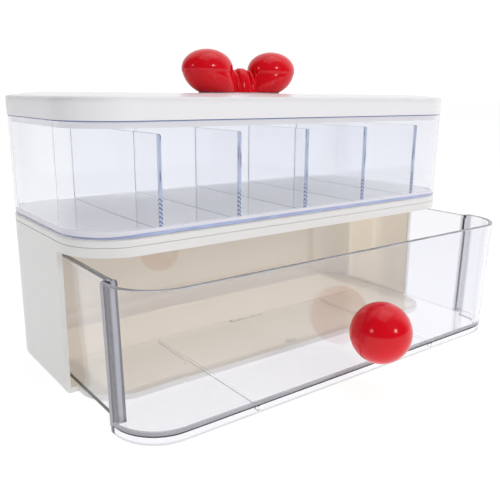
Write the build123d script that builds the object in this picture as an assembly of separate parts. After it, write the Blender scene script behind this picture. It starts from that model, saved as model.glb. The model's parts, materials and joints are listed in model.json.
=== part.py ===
"""Hair accessory organizer: a drawer cabinet, a clear divided tray on top, and a lift-off lid.

Millimetres. +X runs to the right along the front, +Y to the back and +Z up.
The origin is the middle of the cabinet's flat underside.
The drawer is drawn partly open, as the organizer stands at rest.
"""
import math
import os

from build123d import *

# Plan shared by the cabinet, deck, tray and lid
width = 260.0
depth = 116.0
corner_radius = 28.0

# Cabinet shell
cabinet_height = 78.5
cabinet_wall = 2.4
cabinet_floor = 2.9
cabinet_bottom_radius = 2.5
rail_height = 4.5
rail_width = 5.7
mouth_setback = 31.0
floor_recess = 6.4
rear_cove_radius = 10.0

# Raised stop on the cabinet floor that catches the drawer's rear tab
stop_setback = 12.5
stop_length = 7.0
stop_width = 4.0
stop_height = 0.9

# Deck that closes the cabinet and carries the tray
deck_height = 3.5
deck_plate = 1.9
deck_edge_radius = 0.7
deck_fit_gap = 0.2
deck_skirt_depth = 2.6
deck_skirt_wall = 1.6
deck_rib_pitch = 60.0
deck_rib_count = 3
deck_rib_wall = 1.2
deck_rib_height = 2.0
deck_plinth_height = 0.4

# Clear tray
tray_height = 52.5
tray_inset = 0.4
tray_wall = 1.9
tray_floor = 1.6
tray_bottom_radius = 1.2
tray_inner_radius = 1.5
tray_foot_height = 0.6
tray_foot_width = 3.5
tray_foot_gap = 0.3

# Dividers
divider_count = 5
end_compartment = 37.7
divider_wall = 1.7
divider_gap = 0.3
divider_headroom = 6.2
divider_top_radius = 1.2

# Lid
lid_height = 9.8
lid_crown = 2.1
lid_crown_width = 25.0
lid_roof = 2.2
lid_edge_radius = 1.0
collar_depth = 3.4
collar_wall = 1.8
collar_gap = 0.35

# Drawer
drawer_pull = 43.5
drawer_length = 104.0
drawer_wall = 2.2
drawer_floor = 1.6
drawer_floor_gap = 1.3
drawer_rim_gap = 3.4
drawer_foot_gap = 0.5
drawer_front_inset = 0.3
drawer_front_radius = 25.0
drawer_wing = 29.0
drawer_wing_radius = 3.4
drawer_notch_radius = 0.5
drawer_rear_radius = 8.0
drawer_draft = 1.8
drawer_bead_proud = 0.7
drawer_bead_height = 2.5
drawer_side_gap = 1.3
drawer_foot_radius = 1.4
drawer_rim_radius = 0.5

# Runners under the drawer floor
runner_spacing = 129.0
runner_wall = 1.4
runner_gap = 0.3
runner_rear_gap = 6.0
runner_hook_drop = 1.1
stop_tab_width = 24.0
stop_tab_wall = 3.0
stop_tab_drop = 0.8

# Ball knob on the drawer
knob_radius = 15.6
knob_wall = 2.2
knob_seat = 14.2
knob_height = 31.4
knob_seam = 0.2
knob_boss_radius = 4.0
knob_boss_length = 12.0
knob_screw_radius = 1.6
knob_screw_length = 11.0
knob_head_radius = 3.4
knob_head_height = 2.0
screw_gap = 0.05
screw_hole_gap = 0.2

# Bow knob on the lid
bow_setback = 5.5
plinth_height = 0.5
plinth_margin = 0.3
bow_wall = 2.0
bow_seam_step = 0.15

# The bow's lobes: an ellipsoid above the parting line, a lofted belly below it
lobe_centre = 23.5
lobe_half_length = 15.7
lobe_half_width = 12.9
lobe_half_height = 11.1
lobe_centre_height = 13.1
bow_seam_height = 11.0
belly_height = 4.6
belly_centre = 20.5
belly_half_length = 14.6
belly_half_width = 11.5
base_centre = 16.5
base_half_length = 12.0
base_half_width = 7.5

# Waist and knot between the lobes
waist_radius = 4.0
waist_height = 5.0
waist_half_length = 9.0
knot_gap = 0.1
knot_half_length = 4.0
knot_half_depth = 7.6
knot_top = 14.1
knot_rounding = 3.0
pleat_offset = 5.0
pleat_half_length = 1.4
pleat_half_depth = 7.0
pleat_top = 13.2
pleat_rounding = 1.1
pleat_tilt = 5.0
leaf_offset = 6.6
leaf_half_length = 1.2
leaf_half_depth = 6.2
leaf_top = 16.2
leaf_rounding = 0.9
leaf_tilt = 13.0

# Screws that hold the bow
bow_screw_spacing = 40.0
bow_screw_radius = 1.25
bow_screw_depth = 7.0
bow_head_radius = 2.6
bow_head_height = 1.7
bow_boss_radius = 3.4
bow_boss_height = 9.0

# Levels worked out from the sizes above
front_y = -depth / 2
back_y = depth / 2
mouth_y = front_y + mouth_setback
inner_half = width / 2 - cabinet_wall
rail_bottom = cabinet_height - rail_height
deck_top = cabinet_height + deck_height
tray_floor_top = deck_top + tray_foot_height + tray_floor
tray_rim = deck_top + tray_height
divider_top = tray_rim - divider_headroom
divider_pitch = (width / 2 - tray_inset - tray_wall - end_compartment) / ((divider_count - 1) / 2)
lid_edge = tray_rim + lid_height
lid_top = lid_edge + lid_crown
bow_z = lid_top + plinth_height
collar_inset = tray_inset + tray_wall + collar_gap
drawer_y = front_y - drawer_pull
drawer_floor_bottom = cabinet_floor + drawer_floor_gap
drawer_floor_top = drawer_floor_bottom + drawer_floor
drawer_rim = rail_bottom - drawer_rim_gap
drawer_front_half = width / 2 - drawer_front_inset
drawer_side_half = inner_half - drawer_side_gap - drawer_bead_proud
drawer_wing_y = drawer_y + drawer_wing
drawer_rear_y = drawer_y + drawer_length

# Room left above and below a cut so that it runs right through
overcut = 1.0


def plan_block(inset, low, high):
    """The shared rounded plan, drawn in by inset, between two heights."""
    outline = RectangleRounded(width - 2 * inset, depth - 2 * inset, corner_radius - inset)
    return extrude(Pos(0, 0, low) * outline, amount=high - low)


def block(x_low, x_high, y_low, y_high, z_low, z_high):
    """A box between two corners."""
    centre = Pos((x_low + x_high) / 2, (y_low + y_high) / 2, (z_low + z_high) / 2)
    return centre * Box(x_high - x_low, y_high - y_low, z_high - z_low)


def side_block(side, x_inner, x_outer, y_low, y_high, z_low, z_high):
    """A box on one side of the middle plane; side is -1 on the left and 1 on the right."""
    near, far = sorted((side * x_inner, side * x_outer))
    return block(near, far, y_low, y_high, z_low, z_high)


def bottom_edges(shape):
    return shape.edges().group_by(Axis.Z)[0]


def top_edges(shape):
    return shape.edges().group_by(Axis.Z)[-1]


def rod(x, y, radius, low, high):
    """An upright round bar."""
    return Pos(x, y, (low + high) / 2) * Cylinder(radius, high - low)


def rod_along_y(x, z, radius, y_low, y_high):
    """A round bar that runs front to back."""
    return Pos(x, (y_low + y_high) / 2, z) * Rot(90, 0, 0) * Cylinder(radius, y_high - y_low)


def make_cabinet_shell():
    """Open-topped box with a mouth at the front that follows the rounded corners."""
    shell = fillet(bottom_edges(plan_block(0, 0, cabinet_height)), cabinet_bottom_radius)
    shell -= plan_block(cabinet_wall, cabinet_floor, cabinet_height + overcut)
    shell -= block(-width, width, front_y - overcut, mouth_y, cabinet_floor, rail_bottom)
    # The floor in front of the side walls is drawn in behind the drawer's apron
    apron_room = block(-width, width, front_y - overcut, mouth_y, -overcut, cabinet_floor + overcut)
    shell -= apron_room - plan_block(floor_recess, -overcut, cabinet_floor + overcut)
    rail = plan_block(0, rail_bottom, cabinet_height)
    rail -= plan_block(rail_width, rail_bottom - overcut, cabinet_height + overcut)
    return shell + rail + make_rear_cove() + make_drawer_stop()


def make_rear_cove():
    """Hollow-curved corner between the cabinet's floor and back wall."""
    inner_back = back_y - cabinet_wall
    cove_front = inner_back - rear_cove_radius
    cove_top = cabinet_floor + rear_cove_radius
    cove = block(-width, width, cove_front, inner_back + cabinet_wall / 2, cabinet_floor / 2, cove_top)
    cove -= Pos(0, cove_front, cove_top) * Rot(0, 90, 0) * Cylinder(rear_cove_radius, 3 * width)
    return cove & plan_block(cabinet_wall / 2, 0, cabinet_height)


def make_drawer_stop():
    """Low oval bump near the front of the cabinet floor."""
    outline = SlotOverall(stop_length, stop_width)
    bump_height = cabinet_floor / 2 + stop_height
    bump = extrude(Pos(0, front_y + stop_setback, cabinet_floor / 2) * outline, amount=bump_height)
    return fillet(top_edges(bump), stop_height / 3)


def make_cabinet_deck():
    """Plate with a flush rim, a skirt that plugs into the shell and a low plinth under the tray."""
    deck = plan_block(0, cabinet_height, deck_top)
    deck = fillet(top_edges(deck) + bottom_edges(deck), deck_edge_radius)
    skirt_inset = rail_width + deck_fit_gap
    hollow_inset = skirt_inset + deck_skirt_wall
    skirt_bottom = cabinet_height - deck_skirt_depth
    deck += plan_block(skirt_inset, skirt_bottom, deck_top - deck_plate)
    deck -= plan_block(hollow_inset, skirt_bottom - overcut, deck_top - deck_plate)
    rib_half_length = depth / 2 - hollow_inset + deck_skirt_wall / 2
    rib_bottom = deck_top - deck_plate - deck_rib_height
    rib_top = deck_top - deck_plate / 2
    for i in range(deck_rib_count):
        x = (i - (deck_rib_count - 1) / 2) * deck_rib_pitch
        left = x - deck_rib_wall / 2
        right = x + deck_rib_wall / 2
        deck += block(left, right, -rib_half_length, rib_half_length, rib_bottom, rib_top)
    plinth_inset = tray_inset + tray_foot_width + tray_foot_gap
    deck += plan_block(plinth_inset, deck_top - deck_plate / 2, deck_top + deck_plinth_height)
    return deck


def make_upper_tray():
    """Clear tray with a foot ring that drops over the deck's plinth."""
    tray = plan_block(tray_inset, deck_top, tray_rim)
    tray = fillet(bottom_edges(tray), tray_bottom_radius)
    hollow = plan_block(tray_inset + tray_wall, tray_floor_top, tray_rim + overcut)
    tray -= fillet(bottom_edges(hollow), tray_inner_radius)
    tray -= plan_block(tray_inset + tray_foot_width, deck_top - overcut, deck_top + tray_foot_height)
    return tray


def make_divider(index):
    """Upright plate across the tray, with rounded upper corners and eased lower ones."""
    x = (index - (divider_count - 1) / 2) * divider_pitch
    half_length = depth / 2 - tray_inset - tray_wall - divider_gap
    left = x - divider_wall / 2
    right = x + divider_wall / 2
    plate = block(left, right, -half_length, half_length, tray_floor_top, divider_top)
    cross_edges = plate.edges().filter_by(Axis.X).group_by(Axis.Z)
    plate = fillet(cross_edges[-1], divider_top_radius)
    lower_edges = plate.edges().filter_by(Axis.X).group_by(Axis.Z)[0]
    return fillet(lower_edges, tray_inner_radius + divider_gap)


def bow_footprint(margin):
    """Outline of the bow's flat underside, grown by a margin."""
    outline = Rectangle(2 * base_centre, 2 * knot_half_depth + 2 * margin)
    for side in (-1, 1):
        lobe = Ellipse(base_half_length + margin, base_half_width + margin)
        outline += Pos(side * base_centre, 0, 0) * lobe
    return Pos(0, bow_setback, 0) * outline


def crown_block(inset, edge_level):
    """Low cushion over the rounded plan: it climbs from its edge and levels out further in."""
    step_count = 4
    sections = []
    for i in range(step_count + 1):
        run = inset + (lid_crown_width - inset) * i / step_count
        climb = lid_crown * (1 - (1 - run / lid_crown_width) ** 2)
        outline = RectangleRounded(width - 2 * run, depth - 2 * run, corner_radius - run)
        sections.append(Pos(0, 0, edge_level + climb) * outline)
    return loft(sections)


def make_lid_shell():
    """Crowned cap with a collar inside the tray's rim and a flat plinth for the bow."""
    lid = plan_block(0, tray_rim, lid_edge) + crown_block(0, lid_edge)
    rim_edges = [edge for edge in lid.edges() if abs(edge.center().Z - lid_edge) < lid_edge_radius / 10]
    lid = fillet(rim_edges, lid_edge_radius)
    collar_bottom = tray_rim - collar_depth
    lid += plan_block(collar_inset, collar_bottom, tray_rim)
    hollow_inset = collar_inset + collar_wall
    hollow_climb = lid_crown * (1 - (1 - hollow_inset / lid_crown_width) ** 2)
    lid -= plan_block(hollow_inset, collar_bottom - overcut, lid_edge - lid_roof + hollow_climb)
    lid -= crown_block(hollow_inset, lid_edge - lid_roof)
    plinth_base = lid_top - lid_roof / 2
    lid += extrude(Pos(0, 0, plinth_base) * bow_footprint(plinth_margin), amount=bow_z - plinth_base)
    for side in (-1, 1):
        hole_radius = bow_screw_radius + screw_hole_gap
        lid -= rod(side * bow_screw_spacing / 2, bow_setback, hole_radius, tray_rim, bow_z + overcut)
    return lid


def seam_share():
    """Size of the lobe's ellipsoid at the parting line, as a share of its full size."""
    return math.sqrt(1 - ((lobe_centre_height - bow_seam_height) / lobe_half_height) ** 2)


def lobe_skin(shrink):
    """Lower part of both lobes, lofted through three ellipses and drawn in by shrink."""
    seam_length = lobe_half_length * seam_share() - bow_seam_step
    seam_width = lobe_half_width * seam_share() - bow_seam_step
    levels = [
        (shrink, base_centre, base_half_length, base_half_width),
        (belly_height, belly_centre, belly_half_length, belly_half_width),
        (bow_seam_height, lobe_centre, seam_length, seam_width),
    ]
    lobes = []
    for side in (-1, 1):
        sections = []
        for height, centre, half_length, half_width in levels:
            oval = Ellipse(half_length - shrink, half_width - shrink)
            sections.append(Pos(side * centre, bow_setback, bow_z + height) * oval)
        lobes.append(loft(sections))
    return lobes[0] + lobes[1]


def lobe_crowns(shrink):
    """Upper part of both lobes: ellipsoids cut off at the parting line."""
    radii = (lobe_half_length - shrink, lobe_half_width - shrink, lobe_half_height - shrink)
    crown = scale(Sphere(1.0), by=radii)
    reach = 4 * lobe_half_length
    cut_level = bow_seam_height - lobe_centre_height
    crown -= Pos(0, 0, cut_level - reach / 2) * Box(reach, reach, reach)
    centre_z = bow_z + lobe_centre_height
    left = Pos(-lobe_centre, bow_setback, centre_z) * crown
    right = Pos(lobe_centre, bow_setback, centre_z) * crown
    return left + right


def arched_disc(offset, top, half_depth, half_length, rounding, tilt):
    """Upright disc across the waist, narrower than it is tall, with rounded rims and leaning by tilt."""
    disc = Rot(0, 90, 0) * Cylinder(top, 2 * half_length)
    disc = fillet(disc.edges().filter_by(GeomType.CIRCLE), rounding)
    disc = scale(disc, by=(1, half_depth / top, 1))
    return Pos(offset, bow_setback, bow_z) * Rot(0, tilt, 0) * disc


def knot_body(grow):
    """Centre wrap with a pleat and a leaf-shaped fold leaning out on each side, grown by grow."""
    body = arched_disc(
        0, knot_top + grow, knot_half_depth + grow, knot_half_length + grow, knot_rounding, 0,
    )
    for side in (-1, 1):
        body += arched_disc(
            side * pleat_offset, pleat_top + grow, pleat_half_depth + grow, pleat_half_length + grow,
            pleat_rounding, side * pleat_tilt,
        )
        body += arched_disc(
            side * leaf_offset, leaf_top + grow, leaf_half_depth + grow, leaf_half_length + grow,
            leaf_rounding, side * leaf_tilt,
        )
    reach = 4 * leaf_top
    return body - Pos(0, bow_setback, bow_z - reach / 2) * Box(reach, reach, reach)


def waist_bar(grow):
    """Round bar that joins the two lobes inside the knot."""
    bar = Rot(0, 90, 0) * Cylinder(waist_radius + grow, 2 * waist_half_length)
    bar = Pos(0, bow_setback, bow_z + waist_height) * bar
    reach = 4 * waist_half_length
    return bar - Pos(0, bow_setback, bow_z - reach / 2) * Box(reach, reach, reach)


def make_bow_knot():
    return knot_body(0.0) - waist_bar(knot_gap)


def make_bow_lower_half():
    """Both lobes up to the parting line, with hollow bellies, screw bosses and the waist."""
    skin = lobe_skin(0.0)
    half = skin - lobe_skin(bow_wall)
    for side in (-1, 1):
        x = side * bow_screw_spacing / 2
        half += rod(x, bow_setback, bow_boss_radius, bow_z, bow_z + bow_boss_height) & skin
    half -= knot_body(knot_gap)
    half += waist_bar(0.0)
    for side in (-1, 1):
        x = side * bow_screw_spacing / 2
        pilot_radius = bow_screw_radius + screw_gap
        pilot_top = bow_z + bow_screw_depth + screw_hole_gap
        half -= rod(x, bow_setback, pilot_radius, bow_z - overcut, pilot_top)
    return half


def make_bow_lobe_caps():
    return lobe_crowns(0.0) - lobe_crowns(bow_wall) - knot_body(knot_gap)


def make_bow_screws():
    """Two pan-head screws that come up through the lid's roof."""
    head_top = lid_top - lid_roof
    screws = []
    for side in (-1, 1):
        x = side * bow_screw_spacing / 2
        head = rod(x, bow_setback, bow_head_radius, head_top - bow_head_height, head_top)
        head = fillet(bottom_edges(head), bow_head_height / 2)
        screws.append(head + rod(x, bow_setback, bow_screw_radius, head_top, bow_z + bow_screw_depth))
    return Compound(children=screws)


def drawer_inset(level):
    """How far the tapering drawer is drawn in at a height; nothing at the rim."""
    return drawer_draft * (drawer_rim - level) / (drawer_rim - drawer_foot_gap)


def drawer_outline(inset, level):
    """Plan of the drawer at one height: rounded front wings, a step in on each side, then the body."""
    shrink = inset + drawer_inset(level)
    front_half = drawer_front_half - shrink
    body_half = drawer_side_half - shrink
    front = drawer_y + shrink
    wing_back = drawer_wing_y - inset
    rear = drawer_rear_y - shrink
    wing_radius = max(drawer_wing_radius - shrink, drawer_notch_radius)
    right_side = [
        (front_half, front, drawer_front_radius - shrink),
        (front_half, wing_back, wing_radius),
        (body_half, wing_back, drawer_notch_radius),
        (body_half, rear, drawer_rear_radius - shrink),
    ]
    left_side = [(-x, y, radius) for x, y, radius in reversed(right_side)]
    corners = right_side + left_side
    points = [(x, y) for x, y, _ in corners]
    radii = [radius for _, _, radius in corners]
    return Pos(0, 0, level) * make_face(FilletPolyline(*points, radius=radii, close=True))


def drawer_solid(inset, low, high):
    """Tapering drawer plan between two heights, drawn in by inset."""
    return loft([drawer_outline(inset, low), drawer_outline(inset, high)], ruled=True)


def make_drawer_body():
    """Clear drawer: an apron below the floor at the front, and runners behind it."""
    drawer = fillet(bottom_edges(drawer_solid(0, drawer_foot_gap, drawer_rim)), drawer_foot_radius)
    drawer -= drawer_solid(drawer_wall, drawer_floor_top, drawer_rim + overcut)
    drawer = fillet(top_edges(drawer), drawer_rim_radius)
    # Below the floor only the front apron is left
    apron_back = drawer_wing_y - drawer_wall
    drawer -= block(-width, width, apron_back, drawer_rear_y + overcut, -overcut, drawer_floor_bottom)
    drawer -= drawer_solid(drawer_wall, drawer_foot_gap - overcut, drawer_floor_bottom)
    for side in (-1, 1):
        drawer += make_side_bead(side)
        drawer += make_runner(side * runner_spacing / 2)
    drawer += make_stop_tab()
    hole_radius = knob_screw_radius + screw_hole_gap
    return drawer - knob_place() * rod_along_y(0, 0, hole_radius, -overcut, drawer_wall + overcut)


def make_side_bead(side):
    """Stiffening bead along the top of one side wall."""
    bead_front = drawer_wing_y - drawer_wall / 2
    bead_back = drawer_rear_y - drawer_rear_radius
    bead_bottom = drawer_rim - drawer_bead_height
    bead_top = drawer_rim - drawer_rim_radius
    bead_outer = drawer_side_half + drawer_bead_proud
    bead_inner = drawer_side_half - drawer_wall / 2
    return side_block(side, bead_inner, bead_outer, bead_front, bead_back, bead_bottom, bead_top)


def make_stop_tab():
    """Tab under the rear wall that catches on the cabinet's stop."""
    tab_back = drawer_rear_y - drawer_inset(drawer_floor_bottom)
    tab_front = tab_back - stop_tab_wall
    tab_bottom = drawer_floor_bottom - stop_tab_drop
    tab_half = stop_tab_width / 2
    return block(-tab_half, tab_half, tab_front, tab_back, tab_bottom, drawer_floor_top)


def make_runner(x):
    """Rib the drawer slides on; its front hook meets the edge of the cabinet's floor when it is shut."""
    runner_left = x - runner_wall / 2
    runner_right = x + runner_wall / 2
    apron_middle = drawer_y + drawer_inset(drawer_floor_bottom) + drawer_wall / 2
    runner_bottom = cabinet_floor + runner_gap
    runner_back = drawer_rear_y - runner_rear_gap
    floor_middle = drawer_floor_bottom + drawer_floor / 2
    hook_back = drawer_y + floor_recess - runner_gap
    hook_bottom = cabinet_floor - runner_hook_drop
    runner = block(runner_left, runner_right, apron_middle, runner_back, runner_bottom, floor_middle)
    return runner + block(runner_left, runner_right, apron_middle, hook_back, hook_bottom, floor_middle)


def knob_place():
    """Where the knob seats: a spot on the leaning front wall, with Y square to the wall."""
    lean = math.degrees(math.atan2(drawer_draft, drawer_rim - drawer_foot_gap))
    return Pos(0, drawer_y + drawer_inset(knob_height), knob_height) * Rot(lean, 0, 0)


def knob_sphere(radius):
    return Pos(0, -knob_seat, 0) * Sphere(radius)


def make_knob_half(rear):
    """Half of the hollow ball; the rear half has the flat seat and the screw boss."""
    ball = knob_sphere(knob_radius)
    half = ball - knob_sphere(knob_radius - knob_wall)
    if rear:
        seat_disc = rod_along_y(0, 0, knob_radius, -knob_wall, 0)
        boss = rod_along_y(0, 0, knob_boss_radius, -knob_boss_length, 0)
        half += (seat_disc + boss) & ball
        half -= rod_along_y(0, 0, knob_screw_radius + screw_gap, -knob_boss_length - overcut, overcut)
        half -= rod_along_y(0, 0, knob_radius, 0, knob_radius)
    kept_low = -knob_seat if rear else -knob_seat - 2 * knob_radius
    kept = block(-width, width, kept_low, kept_low + 2 * knob_radius, -width, width)
    seam = Pos(0, -knob_seat, 0) * Rot(90, 0, 0) * Torus(knob_radius, knob_seam)
    return knob_place() * ((half & kept) - seam)


def make_knob_screw():
    """Screw with a domed head inside the drawer."""
    shank = rod_along_y(0, 0, knob_screw_radius, drawer_wall - knob_screw_length, drawer_wall)
    head = rod_along_y(0, 0, knob_head_radius, drawer_wall, drawer_wall + knob_head_height)
    head = fillet(head.edges().group_by(Axis.Y)[-1], knob_head_height / 2)
    return knob_place() * (head + shank)


def make_all():
    parts = {
        "cabinet_shell": make_cabinet_shell(),
        "cabinet_deck": make_cabinet_deck(),
        "upper_tray": make_upper_tray(),
    }
    for index in range(divider_count):
        parts[f"divider_{index + 1}"] = make_divider(index)
    parts["lid_shell"] = make_lid_shell()
    parts["bow_lower_half"] = make_bow_lower_half()
    parts["bow_lobe_caps"] = make_bow_lobe_caps()
    parts["bow_knot"] = make_bow_knot()
    parts["bow_screws"] = make_bow_screws()
    parts["drawer_body"] = make_drawer_body()
    parts["knob_front_half"] = make_knob_half(rear=False)
    parts["knob_rear_half"] = make_knob_half(rear=True)
    parts["knob_screw"] = make_knob_screw()
    return parts


os.makedirs("parts", exist_ok=True)
for name, shape in make_all().items():
    export_step(shape, f"parts/{name}.step")

open_pull = drawer_length - drawer_inset(drawer_floor_bottom) - stop_tab_wall
open_pull -= stop_setback + stop_width / 2 + runner_gap
print("drawer closes by", drawer_pull, "and opens by", round(open_pull - drawer_pull, 2))
print("lid top", lid_top, "bow top", round(bow_z + lobe_centre_height + lobe_half_height, 2))
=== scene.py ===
import json
import math

import bmesh
import bpy
from mathutils import Matrix, Vector


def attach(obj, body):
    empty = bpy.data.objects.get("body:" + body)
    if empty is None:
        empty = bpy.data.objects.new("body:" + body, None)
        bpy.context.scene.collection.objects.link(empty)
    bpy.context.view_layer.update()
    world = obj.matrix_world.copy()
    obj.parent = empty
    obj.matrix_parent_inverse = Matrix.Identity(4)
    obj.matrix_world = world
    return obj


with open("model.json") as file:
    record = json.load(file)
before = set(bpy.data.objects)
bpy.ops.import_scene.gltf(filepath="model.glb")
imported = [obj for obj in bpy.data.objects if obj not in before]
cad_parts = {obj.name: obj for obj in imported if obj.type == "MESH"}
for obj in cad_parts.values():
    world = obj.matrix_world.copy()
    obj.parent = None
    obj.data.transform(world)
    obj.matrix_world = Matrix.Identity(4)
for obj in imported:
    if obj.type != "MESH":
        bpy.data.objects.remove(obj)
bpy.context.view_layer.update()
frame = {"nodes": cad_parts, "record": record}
nodes = frame["nodes"]

# Places and sizes are in metres. The object faces -Y and stands on z = 0.

# Camera: place, heading to the right of +Y, tilt below level and roll in degrees,
# and focal length and sensor width in millimetres
CAMERA_PLACE = (-0.226863, -0.305165, 0.146509)
CAMERA_HEADING = 37.146
CAMERA_TILT = 14.267
CAMERA_ROLL = 0.5285
CAMERA_LENS = 44.390
SENSOR_WIDTH = 36.0
NEAREST = 0.01
FARTHEST = 20.0

# World: the backdrop behind the object is white and the room on the camera's side is dimmer.
# The two limits are cosines of the angle from the backdrop's side.
BACKDROP_SIDE = (0.62, 0.62, 0.48)
ROOM_ENDS = 0.14
BACKDROP_STARTS = 0.66
BACKDROP_LIGHT = 1.06
ROOM_LIGHT = 0.13

# Floor: a wide light table just below the object
FLOOR_SIZE = 60.0
FLOOR_LEVEL = -0.0005
FLOOR_LIGHT = 0.82

# Studio lamps that aim at the object: name, shape, place, width, depth and power.
# One of them only lights what faces it and never shows in the plastic.
AIM = (0.0, 0.0, 0.08)
LAMPS = [
    ("overhead", "RECTANGLE", (0.10, -0.25, 1.20), 1.1, 0.7, 2.0),
    ("left_lamp", "DISK", (-2.33, -0.30, 0.93), 0.46, 0.46, 3.8),
    ("right_lamp", "DISK", (0.38, -2.40, 0.95), 0.46, 0.46, 7.0),
    ("front_fill", "RECTANGLE", (0.12, -0.92, 0.80), 0.9, 0.9, 3.8),
]
UNSEEN_LAMP = "front_fill"

# Glow inside the cabinet, on its ceiling, floor and right wall: name, place, turn, width, depth and power
GLOW_COLOUR = (1.0, 0.93, 0.80)
GLOWS = [
    ("bay_glow", (0, 0.012, 0.0728), 0, 0.24, 0.075, 0.020),
    ("floor_glow", (0, 0.003, 0.0036), 0, 0.225, 0.100, 0.019),
    ("right_wall_glow", (0.1270, 0.003, 0.0388), -math.pi / 2, 0.069, 0.058, 0.0033),
]

# Moulded plastic: noise scales of its clouds, its uneven polish and its skin
CLOUD_SCALE = 45.0
POLISH_SCALE = 120.0
POLISH_SPREAD = 0.02
SKIN_SCALE = 1400.0
SKIN_DEPTH = 0.000004

# The cabinet's inside, painted warmer in colour than its outside to stand in for the warm light that passes
# through its translucent white walls and bounces round the bay
INSIDE_HALF_WIDTH = 0.1283
OUTSIDE_HALF_WIDTH = 0.1290
INSIDE_FRONT = -0.0520
INSIDE_BACK = 0.0568
INSIDE_LOW = 0.0022
INSIDE_TOP = 0.0765
INSIDE_BORDER = 0.0004
FACES_INWARD = 0.001
FACES_OUTWARD = 0.004

# Lid: the heights between which the softer look of its edges sets in, above the collar
LID_COLLAR_TOP = 0.1372
LID_SIDE_LOW = 0.1378
BEVEL_SAMPLES = 8

# Clear plastic
CLEAR_ROUGHNESS = 0.01
CLEAR_IOR = 1.53
RIPPLE_SCALE = 28.0
RIPPLE_DEPTH = 0.00003
LEVEL_TINT = (0.99, 0.99, 1.0, 1)
EDGE_ROUGHNESS = 0.25
EDGE_SPECULAR = 0.4
PASSED_LIGHT = (0.98, 0.98, 0.98, 1)

# Colours painted on the clear plastic's edges: partly the plastic's own blue tint seen edge-on, mostly
# painted refraction, reflection and shade
NAVY = (0.06, 0.09, 0.26, 1)
BLUE = (0.54, 0.63, 0.86, 1)
PERIWINKLE = (0.42, 0.50, 0.78, 1)
SLATE = (0.09, 0.11, 0.27, 1)
# Pale lilac painted on the tray's wall where the lit tray floor would show through: a painted light band
PAINTED_LIGHT_LILAC = (0.80, 0.79, 0.87, 1)
LILAC_GREY = (0.50, 0.50, 0.55, 1)
MID_GREY = (0.38, 0.38, 0.41, 1)
PALE_GREY = (0.42, 0.42, 0.47, 1)
SLATE_GREY = (0.020, 0.021, 0.036, 1)
STEEL_BLUE = (0.12, 0.12, 0.15, 1)
NEAR_BLACK = (0.008, 0.007, 0.008, 1)
# The deck's white as seen through the tray's underside, painted lighter than the deck itself to stand in for
# light
LIGHTENED_DECK_WHITE = (0.94, 0.94, 0.97, 1)

# Painted lines of refracted light and shade: how softly they end, and how softly outward faces give way to
# inward ones
LINE_BORDER = 0.0002
OUTWARD_BORDER = 0.01

# Dividers: the strip beside the front edge, and the height up to which the painted refraction streaks on that
# edge look twisted
DIVIDER_FRONT = -0.0545
DIVIDER_STRIP = -0.0541
DIVIDER_EDGE_STRENGTH = 0.85
DIVIDER_STRIP_STRENGTH = 0.75
TWIST_LOW = 0.097
TWIST_TOP = 0.101
TWIST_SCALE = 300.0
STREAK_SCALE = 500.0
STREAK_STRETCH = (2.2, 1.0, 0.14)

# Tray: heights of its foot, rim, painted light band and underside, and where its corners and back begin
TRAY_FOOT_LOW = 0.0818
TRAY_FOOT_TOP = 0.0859
TRAY_RIM_LOW = 0.1338
TRAY_RIM_TOP = 0.1341
TRAY_LIGHT_BAND_LOW = 0.0843
TRAY_LIGHT_BAND_TOP = 0.0900
TRAY_UNDER_LOW = 0.0824
TRAY_UNDERSIDE = 0.0829
TRAY_FLOOR = 0.0831
TRAY_CORNER_START = 0.098
TRAY_CORNER_END = 0.122
TRAY_CORNER_DROP = 0.0008
TRAY_BACK_START = 0.0480
TRAY_BACK_END = 0.0550
LIGHT_BAND_BORDER = 0.0001
TRAY_LINE_STRENGTH = 0.88
# Painted shade on the tray's foot and rim lines: darker in the corners, towards the bottom and along the rim,
# with uneven patches of painted shade
CORNER_DARKNESS = 0.6
UNDER_DARKNESS = 0.3
RIM_DARKNESS = 0.8
SHADE_SPECKLE_SCALE = 240.0
SHADE_SPECKLE_STRETCH = (0.3, 0.3, 2.0)
SHADE_SPECKLE_LIGHTEST = -0.15
SHADE_SPECKLE_DARKEST = 0.25

# Drawer: its leaning walls, rim, floor line and foot, and the steps behind its front wings, with the
# refracted light and shade painted on them
DRAWER_MIDDLE = -0.05
DRAWER_LEAN = 0.0257
DRAWER_RIM = 0.0706
RIM_LINE_LOW = 0.0698
RIM_LINE_TOP = 0.0702
RIM_LINE_STRENGTH = 0.5
FLOOR_LINE_LOW = 0.0056
FLOOR_LINE_TOP = 0.0073
FLOOR_LINE_STRENGTH = 0.85
FOOT_LINE_LOW = 0.0014
FOOT_LINE_TOP = 0.0018
FOOT_LINE_STRENGTH = 0.30
WING_FRONT = -0.0735
WING_BACK = -0.0728
WING_STEP_FRONT = -0.0762
WING_STEP_BACK = -0.0715
WING_STEP_INNER = 0.1222
WING_STEP_OUTER = 0.1226
WING_STEP_BORDER = 0.0003
# The painted shade on the wing steps is strong on the left wing, which is seen edge-on, and faint on the
# right
LEFT_STEP_STRENGTH = 0.95
RIGHT_STEP_STRENGTH = 0.22
STRIPES_OUTER = 0.1300
STRIPES_INNER = 0.1234
LEFT_PART = -0.05
RIGHT_PART = 0.05
GREY_SCALE = 300.0
GREY_STRETCH = (0.2, 0.2, 2.0)

# Upright stripes of painted refracted light and shade from the outer edge inwards: position and colour
STRIPES = [
    (0.0, PALE_GREY), (0.22, PALE_GREY), (0.26, SLATE_GREY), (0.46, SLATE_GREY), (0.50, STEEL_BLUE),
    (0.60, PALE_GREY), (0.76, PALE_GREY), (0.80, STEEL_BLUE), (0.90, STEEL_BLUE), (0.93, NEAR_BLACK),
]
STRIPE_SCALE = 300.0
STRIPE_STRETCH = (1.0, 0.2, 0.05)
STRIPE_WANDER = 0.0003
BEAD_WANDER = 0.0005

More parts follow.
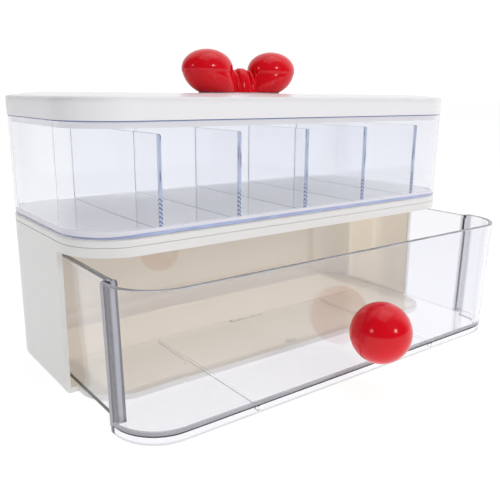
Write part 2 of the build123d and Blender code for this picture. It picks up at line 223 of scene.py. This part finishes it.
# Rounded upright bead at the back end of each front wing of the drawer. Its dome closes in to
# the root of TIP_SHARE of its depth, and FLAT_SHARE of its width doesn't close in.
BEAD_OUTER = 0.1295
BEAD_WIDTH = 0.0076
BEAD_BACK = -0.0727
BEAD_DEPTH = 0.0030
BEAD_LOW = 0.0044
BEAD_TOP = 0.0704
BEAD_RINGS = 12
DOME_RINGS = 5
BEAD_POINTS = 32
TIP_SHARE = 0.02
FLAT_SHARE = 0.6
WIDTH_POWER = 0.5
DEPTH_POWER = 0.7
BEAD_CLEAR = (0.93, 0.93, 0.95, 1)
BEAD_ROUGHNESS = 0.08
# How strongly the painted stripes of refracted light and shade cover the left bead and the beads' outlines
LEFT_BEAD_STRENGTH = 0.97
BEAD_OUTLINE_STRENGTH = 0.45


def make_camera():
    data = bpy.data.cameras.new("camera")
    data.sensor_width = SENSOR_WIDTH
    data.lens = CAMERA_LENS
    data.clip_start = NEAREST
    data.clip_end = FARTHEST
    camera = bpy.data.objects.new("camera", data)
    bpy.context.scene.collection.objects.link(camera)
    heading = Matrix.Rotation(-math.radians(CAMERA_HEADING), 4, "Z")
    tilt = Matrix.Rotation(math.radians(90 - CAMERA_TILT), 4, "X")
    roll = Matrix.Rotation(math.radians(CAMERA_ROLL), 4, "Z")
    camera.matrix_world = Matrix.Translation(CAMERA_PLACE) @ heading @ tilt @ roll
    bpy.context.scene.camera = camera


def feed(tree, node, inputs):
    """Set a node's sockets directly, or link the ones that another node drives."""
    for name, value in inputs.items():
        if isinstance(value, bpy.types.NodeSocket):
            tree.links.new(value, node.inputs[name])
        else:
            node.inputs[name].default_value = value


def add(tree, kind, inputs, **settings):
    """A shader node; an input is either a value or the socket that feeds it."""
    node = tree.nodes.new("ShaderNode" + kind)
    for name, value in settings.items():
        setattr(node, name, value)
    feed(tree, node, inputs)
    return node


def step(tree, value, low, high, at_low=0.0, at_high=1.0):
    """A smooth change from one level to another between two limits."""
    ramp = add(tree, "MapRange", {
        "Value": value, "From Min": low, "From Max": high, "To Min": at_low, "To Max": at_high,
    }, interpolation_type="SMOOTHSTEP")
    return ramp.outputs["Result"]


def maths(tree, operation, first, *others):
    """One operation on several values, from left to right."""
    result = first
    for other in others:
        result = add(tree, "Math", {0: result, 1: other}, operation=operation).outputs["Value"]
    return result


def absolute(tree, value):
    return add(tree, "Math", {0: value}, operation="ABSOLUTE").outputs["Value"]


def all_of(tree, *masks):
    return maths(tree, "MULTIPLY", *masks)


def any_of(tree, *masks):
    return maths(tree, "MAXIMUM", *masks)


def band(tree, value, low, high, soft):
    """One between two limits, nothing outside them."""
    rise = step(tree, value, low - soft, low + soft)
    fall = step(tree, value, high - soft, high + soft, 1.0, 0.0)
    return all_of(tree, rise, fall)


def blend(tree, factor, first, second):
    mix = add(tree, "Mix", {0: factor, 6: first, 7: second}, data_type="RGBA")
    return mix.outputs[2]


def noise(tree, coordinates, scale, detail=2.0, stretch=(1, 1, 1)):
    mapping = add(tree, "Mapping", {"Vector": coordinates, "Scale": stretch})
    texture = add(tree, "TexNoise", {"Vector": mapping.outputs[0], "Scale": scale, "Detail": detail})
    return texture.outputs["Fac"]


def bump(tree, height, distance):
    return add(tree, "Bump", {"Height": height, "Distance": distance})


def new_material(name):
    material = bpy.data.materials.new(name)
    material.use_nodes = True
    tree = material.node_tree
    return material, tree, tree.nodes["Principled BSDF"]


def places(tree):
    """The piece's own coordinates and normals, each split into x, y and z."""
    coordinates = add(tree, "TexCoord", {})
    place = add(tree, "SeparateXYZ", {0: coordinates.outputs["Object"]})
    facing = add(tree, "SeparateXYZ", {0: coordinates.outputs["Normal"]})
    return coordinates.outputs["Object"], place.outputs, facing.outputs


def outward(tree, place, facing, middle_y):
    """Above zero where a face looks away from the upright axis through the middle, below zero inside."""
    across = maths(tree, "MULTIPLY", place["X"], facing["X"])
    along = maths(tree, "MULTIPLY", maths(tree, "SUBTRACT", place["Y"], middle_y), facing["Y"])
    return maths(tree, "ADD", across, along)


def upright(tree, facing):
    """One on faces that stand upright."""
    return step(tree, absolute(tree, facing["Z"]), 0.3, 0.6, 1.0, 0.0)


def level(tree, facing):
    """One on faces that lie flat."""
    return step(tree, absolute(tree, facing["Z"]), 0.6, 0.9)


def inside_cabinet(tree, place, facing):
    """The faces round the drawer's bay, but not the outer faces at the same places."""
    across = step(tree, absolute(tree, place["X"]), INSIDE_HALF_WIDTH, OUTSIDE_HALF_WIDTH, 1.0, 0.0)
    along = band(tree, place["Y"], INSIDE_FRONT, INSIDE_BACK, INSIDE_BORDER)
    above = band(tree, place["Z"], INSIDE_LOW, INSIDE_TOP, INSIDE_BORDER)
    inward = step(tree, outward(tree, place, facing, 0.0), FACES_INWARD, FACES_OUTWARD, 1.0, 0.0)
    return all_of(tree, across, along, above, inward)


def moulded_plastic(name, colour, deep_colour, roughness, specular=0.5, inside_light_warmth=None, rounding=0.0):
    """Opaque moulded plastic: faint cloudy colour, uneven polish and a fine orange-peel skin.

    The cabinet's inside may get a painted warm tint that stands in for light passing through its walls, and
    the lid's edges a softer shading.
    """
    material, tree, shader = new_material(name)
    coordinates, place, facing = places(tree)
    cloud = step(tree, noise(tree, coordinates, CLOUD_SCALE), 0.2, 0.8)
    tone = blend(tree, cloud, (*colour, 1), (*deep_colour, 1))
    if inside_light_warmth:
        # Painted light: the faces round the bay get a warmer colour, standing in for warm light through the
        # translucent walls
        tone = blend(tree, inside_cabinet(tree, place, facing), tone, (*inside_light_warmth, 1))
    polish = noise(tree, coordinates, POLISH_SCALE)
    skin = bump(tree, noise(tree, coordinates, SKIN_SCALE), SKIN_DEPTH)
    if rounding:
        radius = step(tree, place["Z"], LID_COLLAR_TOP, LID_SIDE_LOW, 0.0, rounding)
        soft_edge = add(tree, "Bevel", {"Radius": radius}, samples=BEVEL_SAMPLES)
        feed(tree, skin, {"Normal": soft_edge.outputs["Normal"]})
    feed(tree, shader, {
        "Base Color": tone,
        "Roughness": step(tree, polish, 0.1, 0.9, roughness - POLISH_SPREAD, roughness + POLISH_SPREAD),
        "Specular IOR Level": specular,
        "Normal": skin.outputs["Normal"],
    })
    return material


def clear_plastic(name, surface_colour, depth_colour, density, edge_mask, wave=RIPPLE_DEPTH):
    """Clear plastic with slightly wavy walls and edges painted with refracted light and shade where edge_mask
    says.

    Light for the surfaces behind it passes straight through.
    """
    material, tree, shader = new_material(name)
    coordinates, place, facing = places(tree)
    feed(tree, shader, {
        "Base Color": blend(tree, level(tree, facing), (*surface_colour, 1), LEVEL_TINT),
        "Transmission Weight": 1.0,
        "Roughness": CLEAR_ROUGHNESS,
        "IOR": CLEAR_IOR,
        "Normal": bump(tree, noise(tree, coordinates, RIPPLE_SCALE, detail=1.0), wave).outputs["Normal"],
    })
    # The edges are opaque paint whose colours stand in for the light refracted and reflected in them
    mask, edge_colour = edge_mask(tree, coordinates, place, facing)
    edge = add(tree, "BsdfPrincipled", {
        "Base Color": edge_colour,
        "Roughness": EDGE_ROUGHNESS,
        "Specular IOR Level": EDGE_SPECULAR,
    })
    seen = add(tree, "MixShader", {0: mask, 1: shader.outputs[0], 2: edge.outputs[0]})
    passed = add(tree, "BsdfTransparent", {"Color": PASSED_LIGHT})
    rays = add(tree, "LightPath", {}).outputs
    lighting = any_of(tree, rays["Is Shadow Ray"], rays["Is Diffuse Ray"])
    surface = add(tree, "MixShader", {0: lighting, 1: seen.outputs[0], 2: passed.outputs[0]})
    absorb = add(tree, "VolumeAbsorption", {"Color": (*depth_colour, 1), "Density": density})
    feed(tree, tree.nodes["Material Output"], {
        "Surface": surface.outputs[0],
        "Volume": absorb.outputs["Volume"],
    })
    return material


def divider_edges(tree, coordinates, place, facing):
    """The narrow faces round a divider and the strip beside its front edge: the plastic's blue tint seen
    edge-on, with navy streaks of painted refraction and shade.
    """
    edge = step(tree, absolute(tree, facing["X"]), 0.3, 0.8, DIVIDER_EDGE_STRENGTH, 0.0)
    strip = step(tree, place["Y"], DIVIDER_FRONT, DIVIDER_STRIP, DIVIDER_STRIP_STRENGTH, 0.0)
    # Painted refraction: navy streaks, long ones above and twisted ones low down
    long_streak = noise(tree, coordinates, STREAK_SCALE, stretch=STREAK_STRETCH)
    twist = add(tree, "TexWave", {
        "Vector": coordinates, "Scale": TWIST_SCALE, "Distortion": 1.5, "Detail": 1.0,
    }, wave_type="BANDS", bands_direction="DIAGONAL").outputs["Fac"]
    low = step(tree, place["Z"], TWIST_LOW, TWIST_TOP, 0.9, 0.0)
    pattern = add(tree, "Mix", {0: low, 2: long_streak, 3: twist}, data_type="FLOAT").outputs[0]
    streak = step(tree, pattern, 0.50, 0.68)
    return any_of(tree, edge, strip), blend(tree, streak, BLUE, NAVY)


def tray_edges(tree, coordinates, place, facing):
    """The tray's foot and rim, painted with refracted light and shade: navy in the corners, periwinkle along
    the front, a pale painted light band above.

    The underside rests on the white deck, so it takes the deck's colour, painted lighter than the deck itself
    to stand in for the light that reaches it.
    """
    outside = step(tree, outward(tree, place, facing, 0.0), 0.0, OUTWARD_BORDER)
    ahead = step(tree, place["Y"], TRAY_BACK_START, TRAY_BACK_END, 1.0, 0.0)
    foot = band(tree, place["Z"], TRAY_FOOT_LOW, TRAY_FOOT_TOP, LINE_BORDER)
    rim = step(tree, place["Z"], TRAY_RIM_LOW, TRAY_RIM_TOP)
    lines = all_of(tree, any_of(tree, foot, rim), outside, ahead, upright(tree, facing))
    corner = step(tree, absolute(tree, place["X"]), TRAY_CORNER_START, TRAY_CORNER_END)
    cloud = noise(tree, coordinates, SHADE_SPECKLE_SCALE, stretch=SHADE_SPECKLE_STRETCH)
    shade_speckle = step(tree, cloud, 0.3, 0.7, SHADE_SPECKLE_LIGHTEST, SHADE_SPECKLE_DARKEST)
    under = step(tree, place["Z"], TRAY_UNDER_LOW, TRAY_UNDERSIDE, UNDER_DARKNESS, 0.0)
    # Painted shade: darker in the corners, in patches and towards the bottom
    depth = maths(tree, "ADD", maths(tree, "MULTIPLY", corner, CORNER_DARKNESS), shade_speckle, under)
    darkness = any_of(tree, depth, maths(tree, "MULTIPLY", rim, RIM_DARKNESS))
    height = maths(tree, "ADD", place["Z"], maths(tree, "MULTIPLY", corner, TRAY_CORNER_DROP))
    # Painted light: a pale band where the lit tray floor would show through the wall
    light_band = band(tree, height, TRAY_LIGHT_BAND_LOW, TRAY_LIGHT_BAND_TOP, LIGHT_BAND_BORDER)
    underside = step(tree, place["Z"], TRAY_UNDERSIDE, TRAY_FLOOR, 1.0, 0.0)
    resting = all_of(tree, level(tree, facing), underside)
    painted = any_of(tree, maths(tree, "MULTIPLY", lines, TRAY_LINE_STRENGTH), resting)
    tint = blend(tree, light_band, blend(tree, darkness, PERIWINKLE, SLATE), PAINTED_LIGHT_LILAC)
    return painted, blend(tree, resting, tint, LIGHTENED_DECK_WHITE)


def reach(tree, place):
    """Distance from the drawer's middle plane, as it is at the rim of its leaning walls."""
    below_rim = maths(tree, "SUBTRACT", DRAWER_RIM, place["Z"])
    lean = maths(tree, "MULTIPLY", below_rim, DRAWER_LEAN)
    return maths(tree, "ADD", absolute(tree, place["X"]), lean)


def striped(tree, coordinates, distance, wander, outer, inner):
    """Colours of the upright stripes of painted refracted light and shade, which wander a little on their way
    up.
    """
    wandering = noise(tree, coordinates, STRIPE_SCALE, stretch=STRIPE_STRETCH)
    shiver = step(tree, wandering, 0.0, 1.0, -wander, wander)
    position = add(tree, "MapRange", {
        "Value": maths(tree, "ADD", distance, shiver), "From Min": outer, "From Max": inner,
    })
    ramp = add(tree, "ValToRGB", {0: position.outputs["Result"]})
    elements = ramp.color_ramp.elements
    while len(elements) < len(STRIPES):
        elements.new(1.0)
    for element, (stop, colour) in zip(elements, STRIPES):
        element.position = stop
        element.color = colour
    return ramp.outputs["Color"]


def drawer_edges(tree, coordinates, place, facing):
    """Painted refracted light and shade on the drawer's rim, the lines round its floor and foot and the steps
    where its wings end.
    """
    outside = step(tree, outward(tree, place, facing, DRAWER_MIDDLE), 0.0, OUTWARD_BORDER)
    ahead = step(tree, place["Y"], WING_FRONT, WING_BACK, FLOOR_LINE_STRENGTH, 0.0)
    front_wall = all_of(tree, outside, ahead, upright(tree, facing))
    rim = step(tree, place["Z"], RIM_LINE_LOW, RIM_LINE_TOP, 0.0, RIM_LINE_STRENGTH)
    line = all_of(tree, band(tree, place["Z"], FLOOR_LINE_LOW, FLOOR_LINE_TOP, LINE_BORDER), front_wall)
    low = step(tree, place["Z"], FOOT_LINE_LOW, FOOT_LINE_TOP, FOOT_LINE_STRENGTH, 0.0)
    foot = all_of(tree, low, front_wall)
    distance = reach(tree, place)
    behind = band(tree, place["Y"], WING_STEP_FRONT, WING_STEP_BACK, WING_STEP_BORDER)
    strength = step(tree, place["X"], LEFT_PART, RIGHT_PART, LEFT_STEP_STRENGTH, RIGHT_STEP_STRENGTH)
    wing_end = all_of(tree, step(tree, distance, WING_STEP_INNER, WING_STEP_OUTER), behind, strength)
    stripes = striped(tree, coordinates, distance, STRIPE_WANDER, STRIPES_OUTER, STRIPES_INNER)
    # Uneven grey of the painted lines
    uneven = noise(tree, coordinates, GREY_SCALE, stretch=GREY_STRETCH)
    grey = blend(tree, step(tree, uneven, 0.3, 0.7), LILAC_GREY, MID_GREY)
    colour = blend(tree, step(tree, wing_end, 0.0, 0.1), grey, stripes)
    return any_of(tree, rim, line, foot, wing_end), colour


def bead_plastic(name):
    """Striped edge-on plastic on the left, with painted dark stripes of refracted light and shade, and almost
    clear on the right.
    """
    material, tree, shader = new_material(name)
    coordinates, place, _ = places(tree)
    distance = reach(tree, place)
    feed(tree, shader, {
        "Base Color": striped(tree, coordinates, distance, BEAD_WANDER, BEAD_OUTER, BEAD_OUTER - BEAD_WIDTH),
        "Roughness": BEAD_ROUGHNESS,
        "Specular IOR Level": 0.5,
    })
    clear = add(tree, "BsdfTransparent", {"Color": BEAD_CLEAR})
    # Painted shade: the stripes also show along the outline, where the bead is seen at a grazing angle
    outline = add(tree, "LayerWeight", {"Blend": 0.35}).outputs["Facing"]
    left = step(tree, place["X"], LEFT_PART, RIGHT_PART, LEFT_BEAD_STRENGTH, 0.0)
    share = any_of(tree, left, step(tree, outline, 0.88, 0.98, 0.0, BEAD_OUTLINE_STRENGTH))
    mixed = add(tree, "MixShader", {0: share, 1: clear.outputs[0], 2: shader.outputs[0]})
    feed(tree, tree.nodes["Material Output"], {"Surface": mixed.outputs[0]})
    return material


def squarish(part, power, half):
    """One coordinate of a squarish oval; a lower power makes it squarer."""
    return math.copysign(abs(part) ** power, part) * half


def bead_ring(mesh, side, index):
    """One ring of points round a bead; the last few close in to a dome."""
    half_width = BEAD_WIDTH / 2
    half_depth = BEAD_DEPTH / 2
    dome = max(0.0, index - BEAD_RINGS + DOME_RINGS) / DOME_RINGS
    share = math.sqrt(max(1 - dome ** 2, TIP_SHARE))
    straight = BEAD_TOP - BEAD_LOW - half_depth
    height = BEAD_LOW + straight * min(index / (BEAD_RINGS - DOME_RINGS), 1.0)
    height += half_depth * math.sin(dome * math.pi / 2)
    middle = BEAD_OUTER - half_width - DRAWER_LEAN * (DRAWER_RIM - height)
    ring = []
    for point in range(BEAD_POINTS):
        angle = 2 * math.pi * point / BEAD_POINTS
        across = squarish(math.cos(angle), WIDTH_POWER, half_width)
        along = squarish(math.sin(angle), DEPTH_POWER, half_depth)
        x = side * middle + across * (FLAT_SHARE + (1 - FLAT_SHARE) * share)
        y = BEAD_BACK - half_depth + along * share
        ring.append(mesh.verts.new((x, y, height)))
    return ring


def make_wing_bead(name, side, material):
    """A leaning bar with a rounded section and a domed top."""
    mesh = bmesh.new()
    rings = [bead_ring(mesh, side, index) for index in range(BEAD_RINGS + 1)]
    for lower, upper in zip(rings, rings[1:]):
        for point in range(BEAD_POINTS):
            after = (point + 1) % BEAD_POINTS
            mesh.faces.new((lower[point], lower[after], upper[after], upper[point]))
    mesh.faces.new(list(reversed(rings[0])))
    mesh.faces.new(rings[-1])
    bmesh.ops.recalc_face_normals(mesh, faces=mesh.faces)
    for face in mesh.faces:
        face.smooth = True
    data = bpy.data.meshes.new("wing_bead")
    mesh.to_mesh(data)
    mesh.free()
    data.materials.append(material)
    bead = bpy.data.objects.new(name, data)
    bpy.context.scene.collection.objects.link(bead)
    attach(bead, "drawer")


def make_world():
    """White on the far side, a dim room on the near side, and white wherever a view looks past the object."""
    world = bpy.data.worlds.new("studio")
    bpy.context.scene.world = world
    world.use_nodes = True
    tree = world.node_tree
    direction = add(tree, "TexCoord", {}).outputs["Generated"]
    facing = add(tree, "VectorMath", {0: direction, 1: BACKDROP_SIDE}, operation="DOT_PRODUCT")
    room = step(tree, facing.outputs["Value"], ROOM_ENDS, BACKDROP_STARTS, ROOM_LIGHT, BACKDROP_LIGHT)
    looked_at = add(tree, "LightPath", {}).outputs["Is Camera Ray"]
    backdrop = maths(tree, "MULTIPLY", looked_at, BACKDROP_LIGHT)
    feed(tree, tree.nodes["Background"], {"Color": (1, 1, 1, 1), "Strength": any_of(tree, room, backdrop)})


def make_lamp(name, shape, place, width, depth, power):
    data = bpy.data.lights.new(name, "AREA")
    data.shape = shape
    data.size = width
    data.size_y = depth
    data.energy = power
    lamp = bpy.data.objects.new(name, data)
    bpy.context.scene.collection.objects.link(lamp)
    lamp.location = place
    lamp.rotation_euler = (Vector(AIM) - Vector(place)).to_track_quat("-Z", "Y").to_euler()
    return lamp


def hide_lamp(lamp):
    """Keep a lamp out of sight, out of reflections and out of the clear plastic."""
    lamp.visible_camera = False
    lamp.visible_glossy = False
    lamp.visible_transmission = False


def make_glow(name, place, turn, width, depth, power):
    """Light that the translucent white walls pass on, without a lamp that shows."""
    glow = make_lamp(name, "RECTANGLE", place, width, depth, power)
    glow.data.color = GLOW_COLOUR
    glow.rotation_euler = (0, turn, 0)
    hide_lamp(glow)


def make_lights():
    for name, shape, place, width, depth, power in LAMPS:
        lamp = make_lamp(name, shape, place, width, depth, power)
        if name == UNSEEN_LAMP:
            hide_lamp(lamp)
    for name, place, turn, width, depth, power in GLOWS:
        make_glow(name, place, turn, width, depth, power)


def make_floor():
    """White floor lit from below, as a light table is."""
    bpy.ops.mesh.primitive_plane_add(size=FLOOR_SIZE, location=(0, 0, FLOOR_LEVEL))
    floor = bpy.context.object
    floor.name = "floor"
    material, tree, shader = new_material("floor_white")
    feed(tree, shader, {
        "Base Color": (0.3, 0.3, 0.3, 1),
        "Roughness": 0.9,
        "Specular IOR Level": 0.0,
        "Emission Color": (1, 1, 1, 1),
        "Emission Strength": FLOOR_LIGHT,
    })
    floor.data.materials.append(material)


def dress_nodes():
    """Give each piece its finish: the tray and the drawer by name, the others by their slot in the record."""
    white = moulded_plastic(
        "white", colour=(0.84, 0.83, 0.825), deep_colour=(0.83, 0.82, 0.812), roughness=0.30,
        # Painted warmth of the light that passes through the walls, on the faces round the bay
        inside_light_warmth=(0.90, 0.85, 0.765),
    )
    lid_white = moulded_plastic(
        "lid_white", colour=(0.85, 0.84, 0.865), deep_colour=(0.84, 0.83, 0.855), roughness=0.25,
        rounding=0.004,
    )
    red = moulded_plastic(
        "red", colour=(0.78, 0.002, 0.012), deep_colour=(0.72, 0.0015, 0.010), roughness=0.12,
        specular=0.35,
    )
    steel = moulded_plastic("steel", colour=(0.6, 0.6, 0.6), deep_colour=(0.5, 0.5, 0.5), roughness=0.3)
    tray_clear = clear_plastic(
        "tray_clear", surface_colour=(0.925, 0.935, 0.962), depth_colour=(0.25, 0.40, 0.80), density=2.0,
        edge_mask=tray_edges,
    )
    divider_clear = clear_plastic(
        "divider_clear", surface_colour=(0.96, 0.965, 0.985), depth_colour=(0.20, 0.35, 0.80), density=3.0,
        edge_mask=divider_edges, wave=0.00008,
    )
    drawer_clear = clear_plastic(
        "drawer_clear", surface_colour=(0.92, 0.92, 0.958), depth_colour=(0.35, 0.38, 0.50), density=2.0,
        edge_mask=drawer_edges,
    )
    by_slot = {
        "white_shell": white, "white_lid": lid_white, "red_bow": red, "red_knob": red, "screw_steel": steel,
        "clear_plastic": divider_clear,
    }
    by_name = {"upper_tray": tray_clear, "drawer_body": drawer_clear}
    for entry in frame["record"]["subparts"]:
        name = entry["node"]
        node = nodes[name]
        node.data.materials.clear()
        node.data.materials.append(by_name.get(name) or by_slot[entry["material_slot"]])


make_camera()
make_world()
make_lights()
make_floor()
dress_nodes()
bead_material = bead_plastic("bead_plastic")
make_wing_bead("wing_bead_left", -1, bead_material)
make_wing_bead("wing_bead_right", 1, bead_material)

bpy.context.scene.view_settings.view_transform = "Standard"
